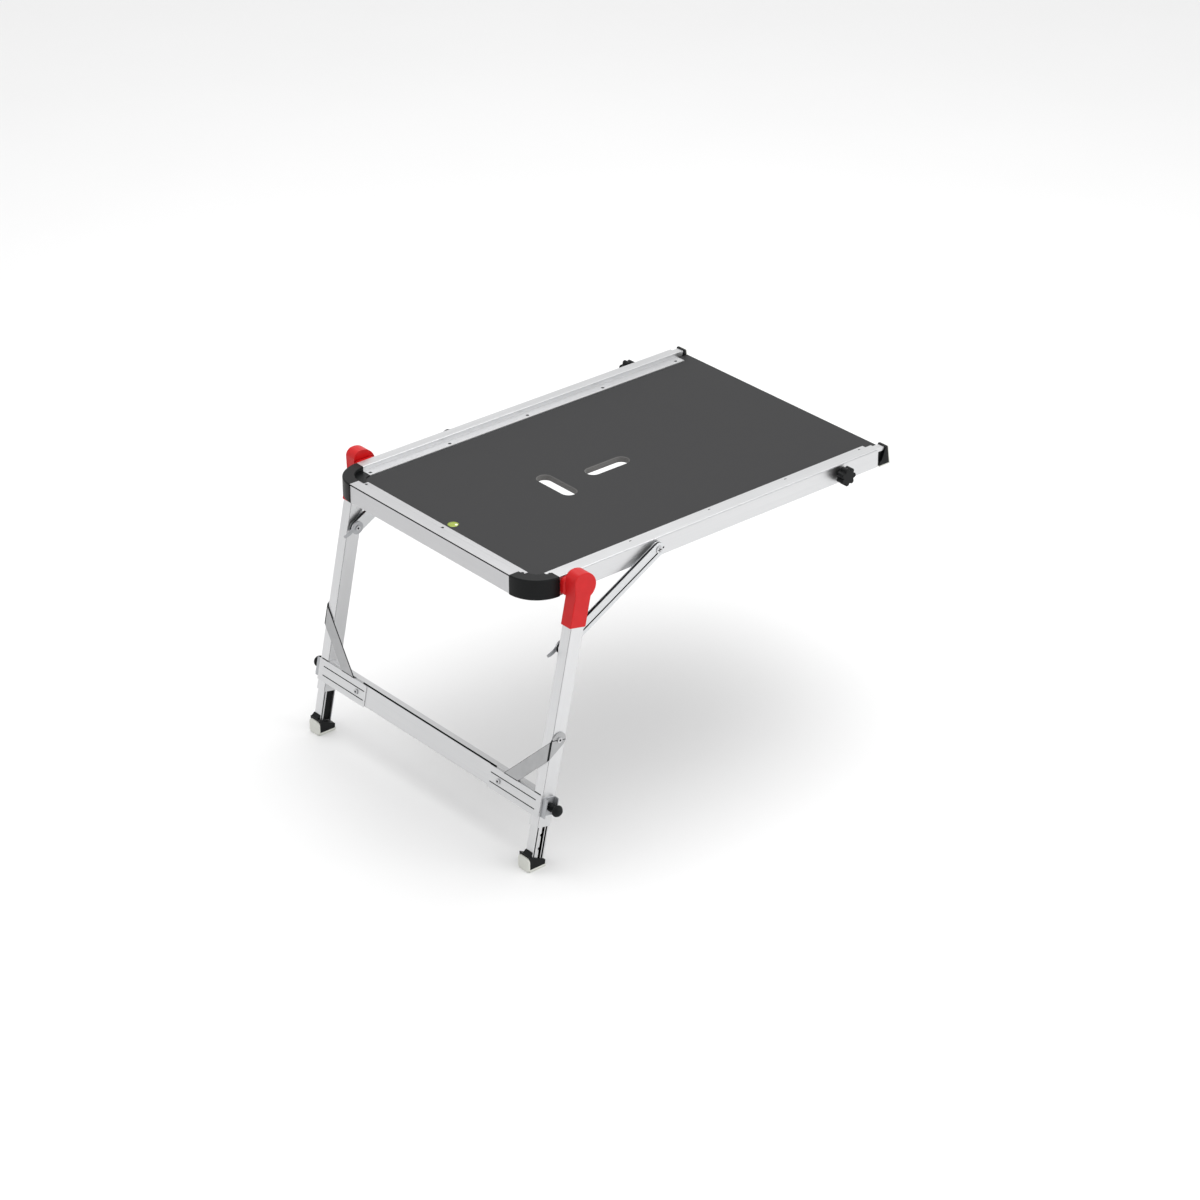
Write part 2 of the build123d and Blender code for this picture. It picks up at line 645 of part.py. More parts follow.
with BuildPart() as rear_foot:
    with BuildSketch(across(-inner_face - 1.0)):
        side_profile([(882.0, 540.0), (908.2, 540.0), (902.4, 577.6), (897.2, 577.6), (897.2, 574.8),
                      (894.0, 565.8), (888.0, 550.8), (882.0, 546.8)])
    extrude(amount=rail_w + 0.2)
    with Locations((front_x + 870.0, -channel_mid_y, rail_mid_z)):
        Box(28.0, channel_w - 5.2, channel_h - 5.2, align=(Align.MIN, Align.CENTER, Align.CENTER))
    with BuildSketch(Plane.YZ.offset(front_x + 880.0)):
        with Locations((-channel_mid_y, rail_mid_z)):
            Rectangle(channel_w + 0.04, channel_h + 0.04)
            Rectangle(channel_w - 5.04, channel_h - 5.04, mode=Mode.SUBTRACT)
        with Locations((-channel_mid_y - channel_w / 2, rail_mid_z)):
            Rectangle(8.0, channel_h - 13.0, mode=Mode.SUBTRACT)
    extrude(amount=17.02, mode=Mode.SUBTRACT)
save_pair(rear_foot.part, "rear_foot")

with BuildPart() as rear_sole:
    with BuildSketch(across(-inner_face - 0.8)):
        side_profile([(883.0, rear_sole_z), (911.0, rear_sole_z), (904.8, 576.8), (902.6, 576.8),
                      (908.2, 540.0), (882.4, 540.0)])
    extrude(amount=rail_w + 0.6)
save_pair(rear_sole.part, "rear_sole")

with BuildPart() as star_knob:
    with BuildSketch(Plane.XZ.offset(315.0)):
        with Locations((clamp_x, rail_mid_z)):
            Circle(14.5)
            with PolarLocations(13.8, 7):
                Circle(5.2)
            with PolarLocations(20.6, 7, start_angle=180 / 7):
                Circle(4.6, mode=Mode.SUBTRACT)
    extrude(amount=16.5)
    faces_out = star_knob.faces().sort_by(Axis.Y)[0].outer_wire().edges()
    fillet(faces_out, 1.6)
    with BuildSketch(Plane.XZ.offset(half_width + 0.4)):
        with Locations((clamp_x, rail_mid_z)):
            Circle(10.0)
    extrude(amount=7.8)
    with BuildSketch(Plane.XZ.offset(half_width + 0.3)):
        with Locations((clamp_x, rail_mid_z)):
            Circle(4.02)
    extrude(amount=12.7, mode=Mode.SUBTRACT)
save_pair(star_knob.part, "star_knob")

with BuildPart() as clamp_stud:
    with BuildSketch(Plane.XZ.offset(290.2)):
        with Locations((clamp_x, rail_mid_z)):
            Circle(4.0)
    extrude(amount=29.8)
save_pair(clamp_stud.part, "clamp_stud")
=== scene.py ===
# %% [markdown]
# # Folding work platform: the looks over a fixed frame
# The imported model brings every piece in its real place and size. This script
# gives each one its finish, adds the small parts and soft edges that a machine
# model leaves out, and sets up a plain studio round it.

# %% Load the frame
from math import cos, pi, radians, sin

import bpy
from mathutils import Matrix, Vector


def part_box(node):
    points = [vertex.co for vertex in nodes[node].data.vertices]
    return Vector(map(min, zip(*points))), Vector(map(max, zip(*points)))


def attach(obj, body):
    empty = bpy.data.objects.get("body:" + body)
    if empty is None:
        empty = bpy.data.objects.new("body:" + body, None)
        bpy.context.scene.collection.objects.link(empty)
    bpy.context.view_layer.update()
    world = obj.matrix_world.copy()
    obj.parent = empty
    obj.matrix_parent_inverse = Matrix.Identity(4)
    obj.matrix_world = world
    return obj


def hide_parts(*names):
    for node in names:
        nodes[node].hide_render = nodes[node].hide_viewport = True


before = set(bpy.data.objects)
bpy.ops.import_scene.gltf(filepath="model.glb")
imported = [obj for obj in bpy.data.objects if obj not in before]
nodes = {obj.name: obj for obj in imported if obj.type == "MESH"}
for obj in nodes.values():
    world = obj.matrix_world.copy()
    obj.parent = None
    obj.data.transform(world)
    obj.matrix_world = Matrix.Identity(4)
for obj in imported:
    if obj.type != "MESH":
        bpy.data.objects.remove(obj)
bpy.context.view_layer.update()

sharp_edge = radians(35)

# %% [markdown]
# ## Camera
# A long lens from the front right, a little under thirty degrees above the
# floor, keeps the upright legs nearly parallel. It is placed by a point and a
# direction, because a look-at point would have to be guessed.

# %% Camera
camera_data = bpy.data.cameras.new("studio_camera")
camera_data.lens = 105.74
camera_data.sensor_width = 36.0
camera_data.clip_end = 60.0
camera = bpy.data.objects.new("studio_camera", camera_data)
bpy.context.scene.collection.objects.link(camera)
camera.location = (-3.9873, -4.6602, 3.6243)
looking = Vector((0.56985, 0.66727, -0.47960))
camera.rotation_euler = looking.to_track_quat("-Z", "Y").to_euler()
bpy.context.scene.camera = camera
print("camera", tuple(round(v, 3) for v in camera.location))

# %% [markdown]
# ## Floor, walls of light and view
# A plain pale floor catches a soft shadow. Satin metal shows little but what it
# reflects, so the room is built for the metal: a broad lamp overhead for the
# top faces, one low on the right for the long sides, and a weak fill in front.

# %% Floor
bpy.ops.object.select_all(action="DESELECT")
bpy.ops.mesh.primitive_plane_add(size=40.0, location=(0, 0, 0))
floor = bpy.context.object
floor.name = "studio_floor"


# %% [markdown]
# ## Soft lamps and an even room
# Each lamp is a rectangular softbox, because its shape shows in satin metal as a
# broad highlight with no hard edge. An even, nearly white room fills the rest.

# %% Lamps
def add_lamp(name, place, aim, width, height, power):
    """A rectangular softbox at a place, facing an aim point."""
    lamp_data = bpy.data.lights.new(name, "AREA")
    lamp_data.shape = "RECTANGLE"
    lamp_data.size = width
    lamp_data.size_y = height
    lamp_data.energy = power
    lamp = bpy.data.objects.new(name, lamp_data)
    bpy.context.scene.collection.objects.link(lamp)
    lamp.location = place
    lamp.rotation_euler = (Vector(aim) - Vector(place)).to_track_quat("-Z", "Y").to_euler()
    return lamp


add_lamp("overhead_softbox", (0.6, 0.4, 3.4), (0, 0, 0.5), 3.2, 3.2, 58)
add_lamp("right_softbox", (1.2, -3.2, 1.5), (0, 0, 0.4), 2.6, 1.6, 36)
add_lamp("front_fill", (-3.4, 0.8, 1.8), (0, 0, 0.3), 2.0, 1.6, 5)

world = bpy.data.worlds.new("studio_room")
bpy.context.scene.world = world
world.use_nodes = True
world.node_tree.nodes["Background"].inputs["Color"].default_value = (0.94, 0.94, 0.94, 1)
world.node_tree.nodes["Background"].inputs["Strength"].default_value = 1.02
bpy.context.scene.view_settings.view_transform = "Standard"


# %% [markdown]
# ## Two small tools for materials
# Colours are read off as sRGB hex values, and Blender's nodes want linear
# light, so one function turns them. Another adds a node with its settings and
# links in one call, which keeps each recipe short enough to read.

# %% Colour and node helpers
def linear(hex_code):
    """Turn an sRGB hex colour into linear RGBA."""
    parts = [int(hex_code[i:i + 2], 16) / 255 for i in (1, 3, 5)]
    return tuple(c / 12.92 if c <= 0.04045 else ((c + 0.055) / 1.055) ** 2.4 for c in parts) + (1.0,)


def add(tree, kind, feeds=None, **settings):
    """Add a node; feeds gives each input a value, or an output to link from."""
    made = tree.nodes.new(kind)
    for key, value in settings.items():
        setattr(made, key, value)
    for key, value in (feeds or {}).items():
        if isinstance(value, bpy.types.NodeSocket):
            tree.links.new(value, made.inputs[key])
        else:
            made.inputs[key].default_value = value
    return made


def begin(name, roughness, metallic=0.0, ior=None, shine=0.5):
    """Start a material; returns it with its node tree and its shader."""
    material = bpy.data.materials.new(name)
    material.use_nodes = True
    shader = material.node_tree.nodes["Principled BSDF"]
    shader.inputs["Roughness"].default_value = roughness
    shader.inputs["Metallic"].default_value = metallic
    shader.inputs["Specular IOR Level"].default_value = shine
    if ior:
        shader.inputs["IOR"].default_value = ior
    return material, material.node_tree, shader


def join(tree, output, shader, socket):
    """Link an output to one of the shader's inputs."""
    tree.links.new(output, shader.inputs[socket])


print("linear mid grey", [round(v, 3) for v in linear("#808080")])


# %% [markdown]
# ## Where the metal is in deep shade
# Grooves and open channels in the profiles read as crisp dark lines in the photo.
# Blender's light alone leaves them grey at this size, so the material is darkened
# there. Most of these lines lie over a modelled groove. Some are drawn wider or
# longer than the groove, and some have no groove at all: each cell of zones says
# which. A zone is a set of slabs, each a direction, the middle of the slab along
# it and its half thickness in millimetres, and it holds on both sides of the
# middle plane because the place is folded over first.

# %% Dark zones
lean = radians(12)
down_leg = Vector((-sin(lean), 0, -cos(lean)))
ahead_leg = Vector((-cos(lean), 0, sin(lean)))
hinge = Vector((-341, 0, 557.8))
strut_high = Vector((-135, 0, 559.8))
lock_s = 126.0
strut_low = hinge + lock_s * down_leg
down_strut = (strut_low - strut_high).normalized()
below_strut = Vector((-down_strut.z, 0, down_strut.x))


# The zones mark where shade is painted into a material.
def painted_shade_zones(tree, place, zones):
    """An output that is 1 inside any of the zones and 0 elsewhere."""
    axes = add(tree, "ShaderNodeSeparateXYZ", {"Vector": place})
    away = add(tree, "ShaderNodeMath", {0: axes.outputs["Y"]}, operation="ABSOLUTE")
    folded = add(tree, "ShaderNodeCombineXYZ", {
        "X": axes.outputs["X"], "Y": away.outputs["Value"], "Z": axes.outputs["Z"]})
    total = 0.0
    for slabs in zones:
        inside = 1.0
        for direction, middle, half in slabs:
            along = add(tree, "ShaderNodeVectorMath", {
                0: folded.outputs["Vector"], 1: direction}, operation="DOT_PRODUCT")
            near = add(tree, "ShaderNodeMath", {
                0: along.outputs["Value"], 1: middle / 1000, 2: half / 1000}, operation="COMPARE")
            both = add(tree, "ShaderNodeMath", {0: inside, 1: near.outputs["Value"]}, operation="MULTIPLY")
            inside = both.outputs["Value"]
        either = add(tree, "ShaderNodeMath", {0: total, 1: inside}, operation="MAXIMUM")
        total = either.outputs["Value"]
    return total


def leg_slabs(s_middle, s_half, t_middle, t_half):
    """Slabs down the leg from the hinge (s) and forwards from its middle (t)."""
    return [(down_leg, s_middle + hinge.dot(down_leg), s_half),
            (ahead_leg, t_middle + hinge.dot(ahead_leg), t_half)]


# %% [markdown]
# ## Which places are in deep shade
# Over modelled grooves: the front rail's top edge, the crossbar's top, the two
# grooves in each end plate, the hair line beside each front corner of a leg, the
# three channels of the inner leg and the groove in a strut's outer face. The front
# rail's line is drawn 2.8 mm high over a 2.0 mm groove, and the crossbar's runs on
# from 193 mm, where its groove ends, to 208 mm from the middle.
# Drawn only, with no groove under them: a painted shadow line on a leg just above
# its end plate, and the dark bottom of a strut's open top.

# %% Zones of the profiles
across_deck, upwards, rearwards = (0, 1, 0), (0, 0, 1), (1, 0, 0)
bar_top_s = 413.0
plate_groove_s = (427.5, 446.5)
corner_line_y = (345.1, 321.9)
inner_leg_channels = ((11.2, 1.5), (-2.0, 3.3), (-9.1, 2.2))

# Painted shade: each list below darkens its lines to near black.
front_painted_shade = [[(rearwards, -431.2, 1.0), (upwards, 576.5, 1.4)]]
cross_painted_shade = [[(across_deck, 104.0, 104.1)] + leg_slabs(bar_top_s, 4.3, 15.5, 1.05)]
for groove_s in plate_groove_s:
    cross_painted_shade.append(leg_slabs(groove_s, 1.15, 18.0, 0.36))

# Painted shadow line on the leg just above its end plate, with no groove under it.
leg_painted_shade = [[(across_deck, 331.0, 9.5)] + leg_slabs(bar_top_s + 0.1, 0.9, 17.0, 0.4)]
for line_y in corner_line_y:
    leg_painted_shade.append([(across_deck, line_y, 0.6)] + leg_slabs(250.0, 300.0, 15.2, 0.22))
for channel_t, half_width in inner_leg_channels:
    leg_painted_shade.append([(across_deck, 339.6, 3.55)] + leg_slabs(400.0, 155.0, channel_t, half_width))

strut_middle = strut_high.dot(below_strut)
# Painted shade in the strut's outer groove and in the bottom of its open top.
strut_painted_shade = [
    [(below_strut, strut_middle + 4.0, 1.46), (across_deck, 318.0, 1.35)],
    [(below_strut, strut_middle - 2.0, 3.1), (across_deck, 315.5, 2.52)],
]
print("zones", len(front_painted_shade + cross_painted_shade + leg_painted_shade + strut_painted_shade))


# %% [markdown]
# ## Extruded aluminium
# Rails and legs are pressed through a die and left with a satin, clear-anodised
# skin. The die leaves hair-fine lines that run along each length, so the sheen
# is drawn out along it. One recipe makes a version for every direction a
# profile runs in. Real lines are under 0.1 mm apart; they are drawn 0.9 mm
# apart, because finer ones would vanish.

# %% Extruded aluminium
def extruded_aluminium(name, light, dark, along, zones=(), line_mm=0.9, roughness=0.36):
    """Satin aluminium whose die lines run along a direction."""
    material, tree, shader = begin(name, roughness, metallic=1.0)
    turn = Vector(along).to_track_quat("X", "Z").to_euler()
    place = add(tree, "ShaderNodeTexCoord")
    lengthways = add(tree, "ShaderNodeMapping", {
        "Vector": place.outputs["Object"], "Rotation": turn}, vector_type="TEXTURE")
    stretched = add(tree, "ShaderNodeMapping", {
        "Vector": lengthways.outputs["Vector"], "Scale": (3.0, 1000 / line_mm, 1000 / line_mm)})
    lines = add(tree, "ShaderNodeTexNoise", {
        "Vector": stretched.outputs["Vector"], "Scale": 1.0, "Detail": 3.0, "Roughness": 0.6})
    clouds = add(tree, "ShaderNodeTexNoise", {
        "Vector": place.outputs["Object"], "Scale": 1000 / 90, "Detail": 2.0})
    tone = add(tree, "ShaderNodeMix", {
        "Factor": lines.outputs["Fac"], 6: linear(dark), 7: linear(light)}, data_type="RGBA")
    # Painted shade: inside the zones the colour goes to near black.
    shade = add(tree, "ShaderNodeMix", {
        "Factor": painted_shade_zones(tree, place.outputs["Object"], zones),
        6: tone.outputs[2], 7: linear("#1E1F20")}, data_type="RGBA")
    sheen_lines = add(tree, "ShaderNodeMapRange", {
        "Value": lines.outputs["Fac"], "From Min": 0.3, "From Max": 0.7,
        "To Min": roughness - 0.05, "To Max": roughness + 0.05})
    handled = add(tree, "ShaderNodeMath", {
        0: clouds.outputs["Fac"], 1: 0.10, 2: -0.05}, operation="MULTIPLY_ADD")
    sheen = add(tree, "ShaderNodeMath", {
        0: sheen_lines.outputs["Result"], 1: handled.outputs["Value"]}, operation="ADD")
    relief = add(tree, "ShaderNodeBump", {
        "Height": lines.outputs["Fac"], "Strength": 0.25, "Distance": 0.00005})
    join(tree, shade.outputs[2], shader, "Base Color")
    join(tree, sheen.outputs["Value"], shader, "Roughness")
    join(tree, relief.outputs["Normal"], shader, "Normal")
    return material


rail_metal = extruded_aluminium("aluminium_side_rails", "#D6D6D7", "#C2C3C4", rearwards)
# The front rail is the side rails' profile in a darker tone, painted shade for its front-facing side.
shaded_front_metal = extruded_aluminium("aluminium_front_rail_painted_shade", "#C9C9CA", "#B8B8BA", across_deck, front_painted_shade)
cross_metal = extruded_aluminium("aluminium_cross_pieces", "#D6D6D7", "#C4C5C6", across_deck, cross_painted_shade)
leg_metal = extruded_aluminium("aluminium_legs", "#DBDBDC", "#C9CACB", down_leg, leg_painted_shade)
strut_metal = extruded_aluminium("aluminium_struts", "#D6D7D8", "#C2C4C6", down_strut, strut_painted_shade)
print("aluminium directions", [tuple(round(c, 3) for c in v) for v in (down_leg, down_strut)])


# %% [markdown]
# ## Flat bar and plated steel
# The gussets are cut from mill-finish flat bar, darker and duller than the
# anodised profiles. The dark lines along their sawn edge, their bend and their foot
# edge are painted shade, with no groove under them. Bolts, pins and the pressed yokes
# are zinc-plated steel, which clouds slightly from place to place. The recesses in
# the bolt heads are six-sided, and the painted shade over them is square.

# %% Flat bar and zinc
def clouded_metal(name, light, dark, patch_mm, grain_mm, roughness, zones=()):
    """Metal with soft patches of tone and a fine grain in its roughness."""
    material, tree, shader = begin(name, roughness, metallic=1.0)
    place = add(tree, "ShaderNodeTexCoord")
    patches = add(tree, "ShaderNodeTexNoise", {
        "Vector": place.outputs["Object"], "Scale": 1000 / patch_mm, "Detail": 4.0})
    grain = add(tree, "ShaderNodeTexNoise", {
        "Vector": place.outputs["Object"], "Scale": 1000 / grain_mm, "Detail": 2.0})
    tone = add(tree, "ShaderNodeMix", {
        "Factor": patches.outputs["Fac"], 6: linear(dark), 7: linear(light)}, data_type="RGBA")
    # Painted shade: inside the zones the colour goes to near black.
    shade = add(tree, "ShaderNodeMix", {
        "Factor": painted_shade_zones(tree, place.outputs["Object"], zones),
        6: tone.outputs[2], 7: linear("#2C2D2E")}, data_type="RGBA")
    sheen = add(tree, "ShaderNodeMapRange", {
        "Value": grain.outputs["Fac"], "To Min": roughness - 0.1, "To Max": roughness + 0.1})
    relief = add(tree, "ShaderNodeBump", {
        "Height": grain.outputs["Fac"], "Strength": 0.2, "Distance": 0.00006})
    join(tree, shade.outputs[2], shader, "Base Color")
    join(tree, sheen.outputs["Result"], shader, "Roughness")
    join(tree, relief.outputs["Normal"], shader, "Normal")
    return material


key = 2.4
strut_key = 4.7
bar_slope = Vector(across_deck) + down_leg
bar_line = 648.2 + hinge.dot(down_leg)
# Painted shade on the gussets: dark lines along the sawn edge, the bend and the foot edge.
sawn_edge = [(bar_slope, bar_line, 0.9)]
tight_bend = [(across_deck, 345.9, 1.9)] + leg_slabs(330.0, 60.0, 18.2, 1.2)
foot_edge = leg_slabs(bar_top_s + 0.2, 1.1, 18.5, 1.2)
# Painted shade in the bolt recesses, square over six-sided recesses.
strut_recess = [
    (across_deck, 320.15, 0.85),
    (rearwards, strut_high.x, strut_key),
    (upwards, strut_high.z, strut_key),
]
gusset_recess = [(across_deck, 349.0, 1.3)] + leg_slabs(300.0, key, 0.0, key)
plate_recess = [(across_deck, 222.0, key)] + leg_slabs(437.0, key, 19.75, 1.15)
lock_recess = [(across_deck, 309.4, 1.5)] + leg_slabs(lock_s, key, 0.0, key)
bolt_recess_shade = [strut_recess, gusset_recess, plate_recess, lock_recess]
bar_metal = clouded_metal("aluminium_flat_bar", "#B4B4B5", "#A1A2A3", 14, 1.2, 0.42,
                          [sawn_edge, tight_bend, foot_edge])
zinc_steel = clouded_metal("zinc_plated_steel", "#CBCBCC", "#B5B6B8", 6, 0.9, 0.30, bolt_recess_shade)
yoke_steel = clouded_metal("zinc_pressed_sheet", "#BEBFC1", "#A9ABAE", 9, 1.0, 0.56)
screw_black = clouded_metal("steel_black_screws", "#3A3B3C", "#2A2B2C", 3, 0.5, 0.42)
print("metals", [m.name for m in (bar_metal, zinc_steel, yoke_steel, screw_black)])


# %% [markdown]
# ## Moulded plastics and rubber
# Caps, feet and knobs are black glass-filled nylon from a spark-eroded mould,
# which gives a fine leathery grain. The hinges are red nylon with a closer
# grain and more shine. The soles are pale rubber, dull and a little dusty. The
# grain is about 0.3 mm on the real mouldings and is drawn at 0.8 mm.

# %% Moulded materials
def moulded(name, light, dark, roughness, grain_mm, depth_mm, ior=1.5, shine=0.5):
    """Moulded plastic or rubber with an eroded grain and a slight mottle."""
    material, tree, shader = begin(name, roughness, ior=ior, shine=shine)
    place = add(tree, "ShaderNodeTexCoord")
    mottle = add(tree, "ShaderNodeTexNoise", {
        "Vector": place.outputs["Object"], "Scale": 1000 / 18, "Detail": 3.0})
    pits = add(tree, "ShaderNodeTexVoronoi", {
        "Vector": place.outputs["Object"], "Scale": 1000 / grain_mm, "Randomness": 1.0})
    fine = add(tree, "ShaderNodeTexNoise", {
        "Vector": place.outputs["Object"], "Scale": 2000 / grain_mm, "Detail": 2.0})
    tone = add(tree, "ShaderNodeMix", {
        "Factor": mottle.outputs["Fac"], 6: linear(dark), 7: linear(light)}, data_type="RGBA")
    sheen = add(tree, "ShaderNodeMapRange", {
        "Value": fine.outputs["Fac"], "To Min": roughness - 0.07, "To Max": roughness + 0.07})
    height = add(tree, "ShaderNodeMath", {
        0: pits.outputs["Distance"], 1: fine.outputs["Fac"]}, operation="ADD")
    relief = add(tree, "ShaderNodeBump", {
        "Height": height.outputs["Value"], "Strength": 0.35, "Distance": depth_mm / 1000})
    join(tree, tone.outputs[2], shader, "Base Color")
    join(tree, sheen.outputs["Result"], shader, "Roughness")
    join(tree, relief.outputs["Normal"], shader, "Normal")
    return material


black_nylon = moulded("nylon_black_moulded", "#0E1011", "#090B0C", 0.42, 0.8, 0.05, shine=0.16)
black_slide = moulded("nylon_black_slides", "#0B0C0D", "#070808", 0.5, 0.8, 0.03, shine=0.12)
red_nylon = moulded("nylon_red_moulded", "#C41216", "#B40D11", 0.38, 0.8, 0.03, shine=0.25)
pale_rubber = moulded("rubber_pale_sole", "#CCCDC7", "#BEBFB8", 0.72, 1.0, 0.08, ior=1.52)
print("plastics", [m.name for m in (black_nylon, red_nylon, pale_rubber)])

# %% [markdown]
# ## Deck board
# The deck is birch plywood under a dark grey phenolic film. The film is matt
# with a faint press texture, and shows soft cloudy tones where it has been
# walked on. Its sawn edges are sealed with grey paint, and the plies still
# show as thin bands 1.3 mm apart.

# %% Deck board
film, tree, shader = begin("phenolic_film_on_plywood", 0.52, ior=1.5, shine=0.2)
place = add(tree, "ShaderNodeTexCoord")
surface = add(tree, "ShaderNodeNewGeometry")
axes = add(tree, "ShaderNodeSeparateXYZ", {"Vector": place.outputs["Object"]})
facing = add(tree, "ShaderNodeSeparateXYZ", {"Vector": surface.outputs["Normal"]})
clouds = add(tree, "ShaderNodeTexNoise", {
    "Vector": place.outputs["Object"], "Scale": 1000 / 120, "Detail": 4.0})
press = add(tree, "ShaderNodeTexNoise", {
    "Vector": place.outputs["Object"], "Scale": 1000 / 1.6, "Detail": 2.0})
film_tone = add(tree, "ShaderNodeMix", {
    "Factor": clouds.outputs["Fac"], 6: linear("#242425"), 7: linear("#2D2D2E")},
    data_type="RGBA")
ply_pair = 0.0026
plies = add(tree, "ShaderNodeMath", {0: axes.outputs["Z"], 1: 2 * pi / ply_pair}, operation="MULTIPLY")
ply_wave = add(tree, "ShaderNodeMath", {0: plies.outputs["Value"]}, operation="SINE")
ply_step = add(tree, "ShaderNodeMapRange", {
    "Value": ply_wave.outputs["Value"], "From Min": -0.4, "From Max": 0.4})
edge_tone = add(tree, "ShaderNodeMix", {
    "Factor": ply_step.outputs["Result"], 6: linear("#565554"), 7: linear("#6A6968")},
    data_type="RGBA")
flatness = add(tree, "ShaderNodeMath", {0: facing.outputs["Z"]}, operation="ABSOLUTE")
is_film = add(tree, "ShaderNodeMath", {0: flatness.outputs["Value"], 1: 0.9}, operation="GREATER_THAN")
board_tone = add(tree, "ShaderNodeMix", {
    "Factor": is_film.outputs["Value"], 6: edge_tone.outputs[2], 7: film_tone.outputs[2]},
    data_type="RGBA")
board_sheen = add(tree, "ShaderNodeMapRange", {
    "Value": clouds.outputs["Fac"], "To Min": 0.46, "To Max": 0.60})
board_relief = add(tree, "ShaderNodeBump", {
    "Height": press.outputs["Fac"], "Strength": 0.3, "Distance": 0.00005})
join(tree, board_tone.outputs[2], shader, "Base Color")
join(tree, board_sheen.outputs["Result"], shader, "Roughness")
join(tree, board_relief.outputs["Normal"], shader, "Normal")
print("deck material nodes", len(tree.nodes))

# %% [markdown]
# ## Level and floor
# The level's cup, window and bubble are acrylic, tinted by the fluid inside, and
# smoother than any moulded part. The floor is matt paint on a trowelled base, so
# pale and even that it only carries the shadow.

# %% Level and floor materials
level_fluid = moulded("acrylic_level_window", "#97A836", "#85962B", 0.16, 2.0, 0.005, ior=1.49)
level_cup = moulded("acrylic_level_cup", "#8C9A3C", "#7C8A34", 0.3, 2.0, 0.01, ior=1.49)
bubble_and_painted_glint = moulded("acrylic_bubble_and_painted_glint", "#F0F2D8", "#E8ECC8", 0.12, 2.0, 0.005, ior=1.49)
floor_paint, tree, shader = begin("paint_pale_floor", 0.75)
place = add(tree, "ShaderNodeTexCoord")
trowel = add(tree, "ShaderNodeTexNoise", {
    "Vector": place.outputs["Object"], "Scale": 1.6, "Detail": 3.0})
floor_tone = add(tree, "ShaderNodeMix", {
    "Factor": trowel.outputs["Fac"], 6: linear("#EAEAEA"), 7: linear("#EDEDED")},
    data_type="RGBA")
join(tree, floor_tone.outputs[2], shader, "Base Color")
floor.data.materials.append(floor_paint)
print("floor painted")

# %% [markdown]
# ## Dressing the carried-over pieces
# Each piece of the frame keeps its mesh and gets its finish by the name of the
# piece. Left and right share a name, and what isn't listed is a plated bolt or pin.

# %% Finish by name
finish_of = {
    "deck_board": film, "bubble_level": level_fluid, "ledge_screws": screw_black,
    "side_rail": rail_metal, "rear_extension": rail_metal, "front_rail": shaded_front_metal,
    "crossbar": cross_metal, "end_plate": cross_metal, "outer_leg": leg_metal,
    "inner_leg": leg_metal, "strut": strut_metal, "gusset": bar_metal,
    "corner_cap": black_nylon, "front_foot": black_nylon, "rear_foot": black_nylon,
    "star_knob": black_nylon, "pull_knob": black_nylon, "hinge_base": red_nylon,
    "hinge_socket": red_nylon, "foot_sole": pale_rubber, "rear_sole": pale_rubber,
    "glide_strips": black_slide, "strut_spacers": zinc_steel, "lock_yoke": yoke_steel,
    "finger_latch": yoke_steel,
}
for name, piece in nodes.items():
    base = name.removesuffix("_right").removesuffix("_left")
    finish = finish_of.get(base, zinc_steel)
    piece.data.materials.clear()
    piece.data.materials.append(finish)
print("finished", len(nodes), "pieces")


# %% [markdown]
# ## Soft edges
# A real edge is never perfectly sharp, and the thin bright line along it is what
# the eye reads. A weld and a narrow bevel as live modifiers give that line without
# touching the mesh, and even normals keep the flat faces flat beside it.

# %% Soft edges
def soften(piece, width_mm):
    """Weld loose triangles, bevel the sharp edges and even out the shading."""
    weld = piece.modifiers.new("weld", "WELD")
    weld.merge_threshold = 0.000005
    bevel = piece.modifiers.new("edge", "BEVEL")
    bevel.width = width_mm / 1000
    bevel.segments = 2
    bevel.limit_method = "ANGLE"
    bevel.angle_limit = sharp_edge
    even = piece.modifiers.new("even", "WEIGHTED_NORMAL")
    even.mode = "FACE_AREA"
    even.weight = 80
    for face in piece.data.polygons:
        face.use_smooth = True


for name, piece in nodes.items():
    soften(piece, 0.3)
print("softened")

# %% [markdown]
# ## Tools for modelling by hand
# The small parts below are modelled the way it is done by hand: a primitive at
# its size and place, then edit mode. These helpers start a part, pick faces by
# where they lie, and hand the finished part to its body and its finish. The
# place is put into the mesh, so the object itself stays at the origin.

# %% Modelling helpers
def start(kind, name, **settings):
    """Add one primitive with nothing else selected and return it."""
    bpy.ops.object.select_all(action="DESELECT")
    getattr(bpy.ops.mesh, f"primitive_{kind}_add")(**settings)
    made = bpy.context.object
    made.name = name
    return made


def pick(piece, wanted):
    """Select the faces whose centre and normal pass a test, in edit mode."""
    bpy.ops.object.mode_set(mode="OBJECT")
    for face in piece.data.polygons:
        face.select = False
    for edge in piece.data.edges:
        edge.select = False
    for corner in piece.data.vertices:
        corner.select = False
    for face in piece.data.polygons:
        face.select = wanted(piece.matrix_world @ face.center, face.normal)
    bpy.ops.object.mode_set(mode="EDIT")
    bpy.ops.mesh.select_mode(type="FACE")


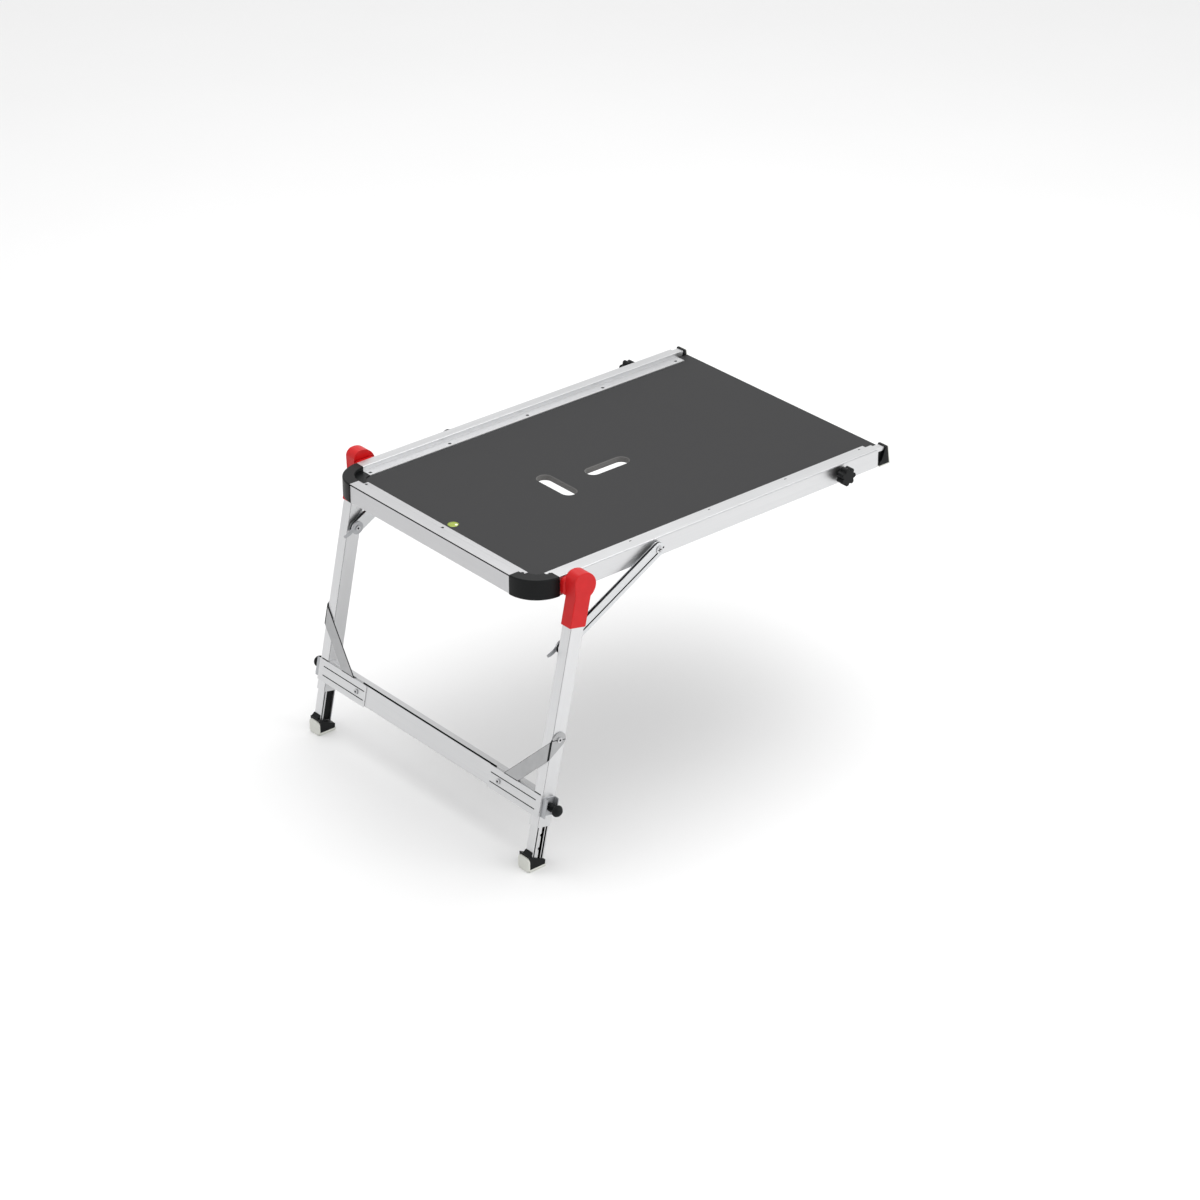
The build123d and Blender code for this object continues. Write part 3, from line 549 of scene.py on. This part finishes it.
def finish_piece(piece, body, material, replaced=(), edge_mm=0.15):
    """Apply the place and a small bevel, and give the piece its body and finish."""
    bpy.ops.object.mode_set(mode="OBJECT")
    bpy.ops.object.select_all(action="DESELECT")
    piece.select_set(True)
    bpy.context.view_layer.objects.active = piece
    bpy.ops.object.transform_apply(location=True, rotation=True, scale=True)
    bevel = piece.modifiers.new("edge", "BEVEL")
    bevel.width = edge_mm / 1000
    bevel.segments = 2
    bevel.limit_method = "ANGLE"
    bevel.angle_limit = sharp_edge
    bpy.ops.object.modifier_apply(modifier=bevel.name)
    bpy.ops.object.shade_smooth_by_angle(angle=sharp_edge)
    piece.data.materials.clear()
    piece.data.materials.append(material)
    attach(piece, body)
    if replaced:
        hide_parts(*replaced)
    print(piece.name, "faces", len(piece.data.polygons))


# %% [markdown]
# ## Round level
# The level is a small clear cup let into the board: a rim, a tinted fluid under
# a shallow dome, and a pale bubble set a little to one side, where it also serves
# as a painted glint. Each is its own part, because each has its own finish.

# %% Round level
level_low, level_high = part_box("bubble_level")
level_place = (level_low + level_high) / 2
level_r = (level_high.x - level_low.x) / 2
level_top = level_high.z

cup = start("cylinder", "level_cup", vertices=48, radius=level_r, depth=level_high.z - level_low.z,
            location=level_place)
pick(cup, lambda centre, normal: normal.z > 0.9)
bpy.ops.mesh.inset(thickness=0.0014)
bpy.ops.transform.translate(value=(0, 0, -0.0016))
finish_piece(cup, "deck_frame", level_cup, ["bubble_level"])

dome = start("cylinder", "level_window", vertices=48, radius=level_r - 0.0015, depth=0.001,
             location=(level_place.x, level_place.y, level_top - 0.0011))
pick(dome, lambda centre, normal: normal.z > 0.9)
for shrink, lift in ((0.0025, 0.0004), (0.003, 0.0002), (0.002, 0.0001)):
    bpy.ops.mesh.inset(thickness=shrink)
    bpy.ops.transform.translate(value=(0, 0, lift))
finish_piece(dome, "deck_frame", level_fluid, edge_mm=0.1)

# The bubble is real, but its pale spot off centre is also a painted glint.
bubble = start("uv_sphere", "level_bubble", segments=24, ring_count=12, radius=0.0034,
               location=(level_place.x + 0.0035, level_place.y - 0.0043, level_top - 0.0002))
bpy.ops.object.mode_set(mode="EDIT")
bpy.ops.mesh.select_all(action="SELECT")
bpy.ops.transform.resize(value=(1.0, 0.9, 0.08))
finish_piece(bubble, "deck_frame", bubble_and_painted_glint, edge_mm=0.02)
